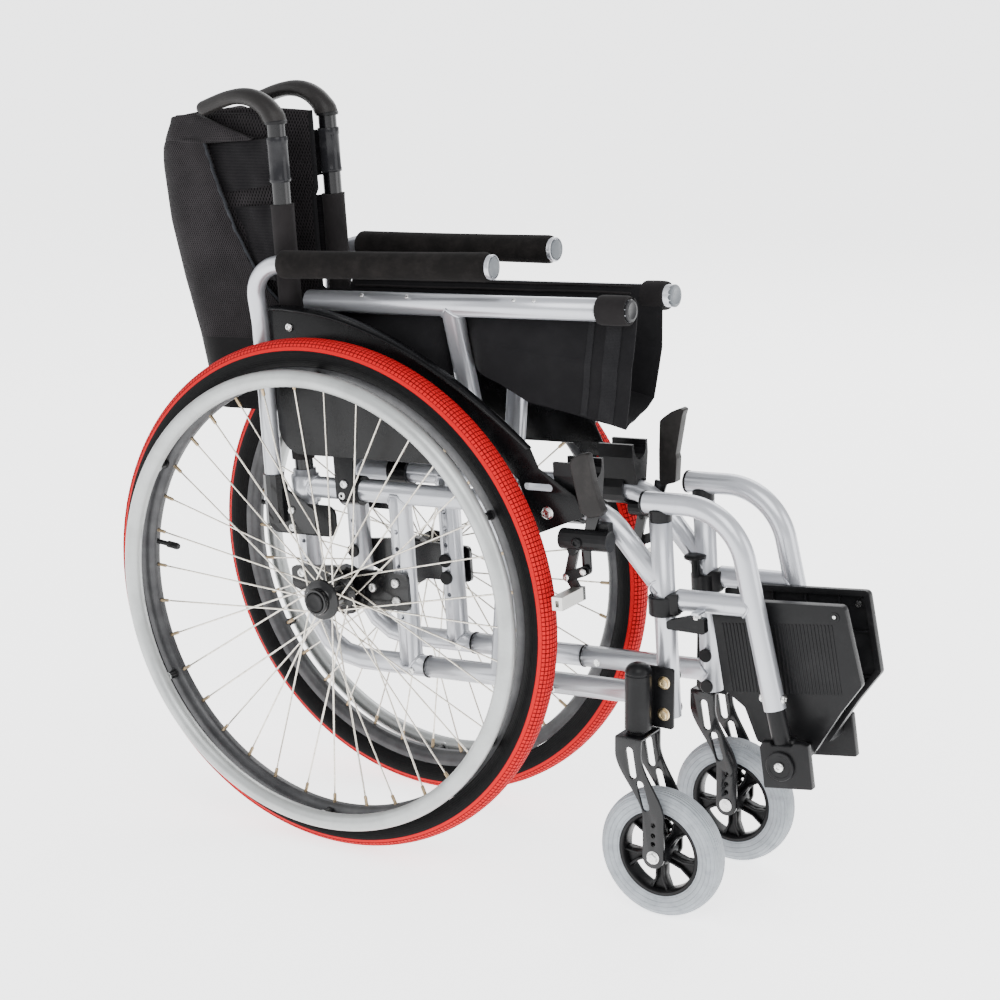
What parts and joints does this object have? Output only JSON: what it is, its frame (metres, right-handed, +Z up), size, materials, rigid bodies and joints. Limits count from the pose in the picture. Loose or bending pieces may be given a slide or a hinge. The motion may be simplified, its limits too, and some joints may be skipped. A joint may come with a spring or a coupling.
{
  "type": "folding wheelchair",
  "caption": "Folding self-propelled wheelchair, folded up: side frames on spoked drive wheels and casters, cross brace, sling seat, swing-away footrests, wheel locks and swing-out armrests.",
  "frame": {"origin": "on the floor, at the middle of the bounding box in plan", "axes": "+X ahead, +Y to the chair's left, +Z up; the mirror plane of the folded chair is Y = 0"},
  "size_m": [0.9438, 0.302, 0.876],
  "materials": {
    "silver_paint": "silver gloss lacquer",
    "black_paint": "gloss black",
    "black_plastic": "moulded black",
    "grip_rubber": "matt ribbed",
    "arm_foam": "matt foam",
    "tread_rubber": "red rubber with a black sidewall",
    "rim_metal": "black anodised",
    "spoke_steel": "bright drawn wire",
    "handrim_metal": "satin anodised",
    "caster_rubber": "grey solid rubber",
    "seat_nylon": "woven black nylon",
    "back_mesh": "black mesh",
    "zinc_steel": "zinc plated"
  },
  "bodies": {
    "right_frame": {"right_side_frame": "silver_paint", "right_back_post": "black_paint", "right_push_grip": "grip_rubber", "right_saddle": "black_plastic", "right_side_guard": "black_plastic", "right_axle_plate": "black_paint", "right_arm_bracket": "black_paint", "right_brake_body": "black_plastic", "right_caster_housing": "black_paint"},
    "right_armrest": {"right_armrest_tube": "silver_paint", "right_armrest_pad": "arm_foam"},
    "right_wheel": {"right_wheel_tyre": "tread_rubber", "right_wheel_rim": "rim_metal", "right_wheel_spokes": "spoke_steel", "right_handrim": "handrim_metal"},
    "right_axle_button": {"right_axle_button": "black_plastic"},
    "right_caster_fork": {"right_caster_fork": "black_paint"},
    "right_caster_wheel": {"right_caster_tyre": "caster_rubber", "right_caster_hub": "black_plastic"},
    "right_hanger": {"right_hanger_tube": "silver_paint", "right_footrest_extension": "black_plastic"},
    "right_hanger_latch": {"right_hanger_latch": "black_plastic"},
    "right_footplate": {"right_footplate": "black_plastic"},
    "right_brake_lever": {"right_brake_lever": "black_plastic"},
    "right_brake_shoe": {"right_brake_shoe": "black_paint"},
    "right_brake_link": {"right_brake_link": "zinc_steel"},
    "right_back_panel": {"right_back_panel": "back_mesh"},
    "right_seat_flap": {"right_seat_flap": "seat_nylon"},
    "left_frame": {"left_side_frame": "silver_paint", "left_back_post": "black_paint", "left_push_grip": "grip_rubber", "left_saddle": "black_plastic", "left_side_guard": "black_plastic", "left_axle_plate": "black_paint", "left_arm_bracket": "black_paint", "left_brake_body": "black_plastic", "left_caster_housing": "black_paint"},
    "left_armrest": {"left_armrest_tube": "silver_paint", "left_armrest_pad": "arm_foam"},
    "left_wheel": {"left_wheel_tyre": "tread_rubber", "left_wheel_rim": "rim_metal", "left_wheel_spokes": "spoke_steel", "left_handrim": "handrim_metal"},
    "left_axle_button": {"left_axle_button": "black_plastic"},
    "left_caster_fork": {"left_caster_fork": "black_paint"},
    "left_caster_wheel": {"left_caster_tyre": "caster_rubber", "left_caster_hub": "black_plastic"},
    "left_hanger": {"left_hanger_tube": "silver_paint", "left_footrest_extension": "black_plastic"},
    "left_hanger_latch": {"left_hanger_latch": "black_plastic"},
    "left_footplate": {"left_footplate": "black_plastic"},
    "left_brake_lever": {"left_brake_lever": "black_plastic"},
    "left_brake_shoe": {"left_brake_shoe": "black_paint"},
    "left_brake_link": {"left_brake_link": "zinc_steel"},
    "left_back_panel": {"left_back_panel": "back_mesh"},
    "left_seat_flap": {"left_seat_flap": "seat_nylon"},
    "brace_a": {"brace_a": "silver_paint", "cross_pivot_bolt": "zinc_steel"},
    "brace_b": {"brace_b": "silver_paint"},
    "seat_centre": {"seat_centre": "seat_nylon"}
  },
  "joints": [
    {"name": "fold", "type": "hinge", "parent": "right_frame", "child": "brace_a", "pos_m": [-0.16101, -0.0505, 0.21389], "axis": [-0.9979, 0, -0.0645], "range_deg": [0, 41.3]},
    {"name": "brace_cross", "type": "hinge", "parent": "brace_a", "child": "brace_b", "pos_m": [-0.17488, 0, 0.42834], "axis": [0.9979, 0, 0.0645], "range_deg": [0, 82.6]},
    {"name": "left_frame_fold", "type": "hinge", "parent": "brace_b", "child": "left_frame", "pos_m": [-0.16101, 0.0505, 0.21389], "axis": [-0.9979, 0, -0.0645], "range_deg": [0, 41.3]},
    {"name": "right_seat_fold", "type": "hinge", "parent": "brace_b", "child": "right_seat_flap", "pos_m": [-0.18874, -0.0505, 0.64279], "axis": [0.9979, 0, 0.0645], "range_deg": [0, 48.7], "deforming": ["right_seat_flap"]},
    {"name": "left_seat_fold", "type": "hinge", "parent": "brace_a", "child": "left_seat_flap", "pos_m": [-0.18874, 0.0505, 0.64279], "axis": [-0.9979, 0, -0.0645], "range_deg": [0, 48.7], "deforming": ["left_seat_flap"]},
    {"name": "seat_centre_fold", "type": "hinge", "parent": "right_seat_flap", "child": "seat_centre", "pos_m": [-0.18042, -0.0505, 0.51406], "axis": [-0.9979, 0, -0.0645], "range_deg": [0, 90.01], "deforming": ["seat_centre"]},
    {"name": "right_back_fold", "type": "hinge", "parent": "right_frame", "child": "right_back_panel", "pos_m": [-0.22927, -0.0505, 0.30097], "axis": [0.0645, 0, -0.9979], "range_deg": [0, 58.71], "deforming": ["right_back_panel"]},
    {"name": "right_armrest_swing", "type": "hinge", "parent": "right_frame", "child": "right_armrest", "pos_m": [-0.26639, -0.0735, 0.43335], "axis": [0.0645, 0, -0.9979], "range_deg": [0, 90]},
    {"name": "right_wheel_spin", "type": "hinge", "parent": "right_frame", "child": "right_wheel", "pos_m": [-0.1669, -0.1047, 0.305], "axis": [0, 1, 0], "continuous": true},
    {"name": "right_axle_release", "type": "slide", "parent": "right_wheel", "child": "right_axle_button", "axis": [0, 1, 0], "range_m": [0, 0.003], "stiffness_N_per_m": 600},
    {"name": "right_caster_swivel", "type": "hinge", "parent": "right_frame", "child": "right_caster_fork", "pos_m": [0.2344, -0.0885, 0.2085], "axis": [0, 0, 1], "continuous": true},
    {"name": "right_caster_spin", "type": "hinge", "parent": "right_caster_fork", "child": "right_caster_wheel", "pos_m": [0.2666, -0.0885, 0.074], "axis": [0, 1, 0], "continuous": true},
    {"name": "right_hanger_swing", "type": "hinge", "parent": "right_frame", "child": "right_hanger", "pos_m": [0.24723, -0.0505, 0.33178], "axis": [0.0645, 0, -0.9979], "range_deg": [0, 90]},
    {"name": "right_hanger_release", "type": "hinge", "parent": "right_hanger", "child": "right_hanger_latch", "pos_m": [0.29663, -0.07, 0.33498], "axis": [-0.0645, 0, 0.9979], "range_deg": [0, 15], "stiffness_Nm_per_rad": 0.06},
    {"name": "right_footplate_fold", "type": "hinge", "parent": "right_hanger", "child": "right_footplate", "pos_m": [0.39416, -0.045, 0.19904], "axis": [-0.9898, 0, -0.1426], "range_deg": [0, 74.01]},
    {"name": "right_brake_lever", "type": "hinge", "parent": "right_frame", "child": "right_brake_lever", "pos_m": [0.1621, -0.077, 0.40544], "axis": [0, 1, 0], "range_deg": [0, 12]},
    {"name": "right_brake_shoe", "type": "hinge", "parent": "right_frame", "child": "right_brake_shoe", "pos_m": [0.14756, -0.077, 0.40099], "axis": [0, 1, 0], "range_deg": [0, 11.33]},
    {"name": "right_brake_link", "type": "hinge", "parent": "right_brake_shoe", "child": "right_brake_link", "pos_m": [0.14077, -0.0815, 0.36959], "axis": [0, 1, 0], "range_deg": [-7.09, 0]},
    {"name": "left_back_fold", "type": "hinge", "parent": "left_frame", "child": "left_back_panel", "pos_m": [-0.22927, 0.0505, 0.30097], "axis": [-0.0645, 0, 0.9979], "range_deg": [0, 58.71], "deforming": ["left_back_panel"]},
    {"name": "left_armrest_swing", "type": "hinge", "parent": "left_frame", "child": "left_armrest", "pos_m": [-0.26639, 0.0735, 0.43335], "axis": [-0.0645, 0, 0.9979], "range_deg": [0, 90]},
    {"name": "left_wheel_spin", "type": "hinge", "parent": "left_frame", "child": "left_wheel", "pos_m": [-0.1669, 0.1047, 0.305], "axis": [0, 1, 0], "continuous": true},
    {"name": "left_axle_release", "type": "slide", "parent": "left_wheel", "child": "left_axle_button", "axis": [0, -1, 0], "range_m": [0, 0.003], "stiffness_N_per_m": 600},
    {"name": "left_caster_swivel", "type": "hinge", "parent": "left_frame", "child": "left_caster_fork", "pos_m": [0.2344, 0.0885, 0.2085], "axis": [0, 0, 1], "continuous": true},
    {"name": "left_caster_spin", "type": "hinge", "parent": "left_caster_fork", "child": "left_caster_wheel", "pos_m": [0.2666, 0.0885, 0.074], "axis": [0, 1, 0], "continuous": true},
    {"name": "left_hanger_swing", "type": "hinge", "parent": "left_frame", "child": "left_hanger", "pos_m": [0.24723, 0.0505, 0.33178], "axis": [-0.0645, 0, 0.9979], "range_deg": [0, 90]},
    {"name": "left_hanger_release", "type": "hinge", "parent": "left_hanger", "child": "left_hanger_latch", "pos_m": [0.29663, 0.07, 0.33498], "axis": [0.0645, 0, -0.9979], "range_deg": [0, 15], "stiffness_Nm_per_rad": 0.06},
    {"name": "left_footplate_fold", "type": "hinge", "parent": "left_hanger", "child": "left_footplate", "pos_m": [0.39416, 0.045, 0.19904], "axis": [0.9898, 0, 0.1426], "range_deg": [0, 74.01]},
    {"name": "left_brake_lever", "type": "hinge", "parent": "left_frame", "child": "left_brake_lever", "pos_m": [0.1621, 0.077, 0.40544], "axis": [0, 1, 0], "range_deg": [0, 12]},
    {"name": "left_brake_shoe", "type": "hinge", "parent": "left_frame", "child": "left_brake_shoe", "pos_m": [0.14756, 0.077, 0.40099], "axis": [0, 1, 0], "range_deg": [0, 11.33]},
    {"name": "left_brake_link", "type": "hinge", "parent": "left_brake_shoe", "child": "left_brake_link", "pos_m": [0.14077, 0.0815, 0.36959], "axis": [0, 1, 0], "range_deg": [-7.09, 0]}
  ],
  "couplings": [
    {"joint": "brace_cross", "follows": "fold", "ratio": 2},
    {"joint": "left_frame_fold", "follows": "fold", "ratio": 1},
    {"joint": "right_seat_fold", "follows": "fold", "ratio": 1.1792},
    {"joint": "left_seat_fold", "follows": "fold", "ratio": 1.1792},
    {"joint": "seat_centre_fold", "follows": "fold", "ratio": 2.1792},
    {"joint": "right_back_fold", "follows": "fold", "ratio": 1.4213},
    {"joint": "right_footplate_fold", "follows": "fold", "ratio": 1.7918},
    {"joint": "right_brake_shoe", "follows": "right_brake_lever", "ratio": 0.94347},
    {"joint": "right_brake_link", "follows": "right_brake_lever", "ratio": -0.58971},
    {"joint": "left_back_fold", "follows": "fold", "ratio": 1.4213},
    {"joint": "left_footplate_fold", "follows": "fold", "ratio": 1.7918},
    {"joint": "left_brake_shoe", "follows": "left_brake_lever", "ratio": 0.94347},
    {"joint": "left_brake_link", "follows": "left_brake_lever", "ratio": -0.58971}
  ]
}
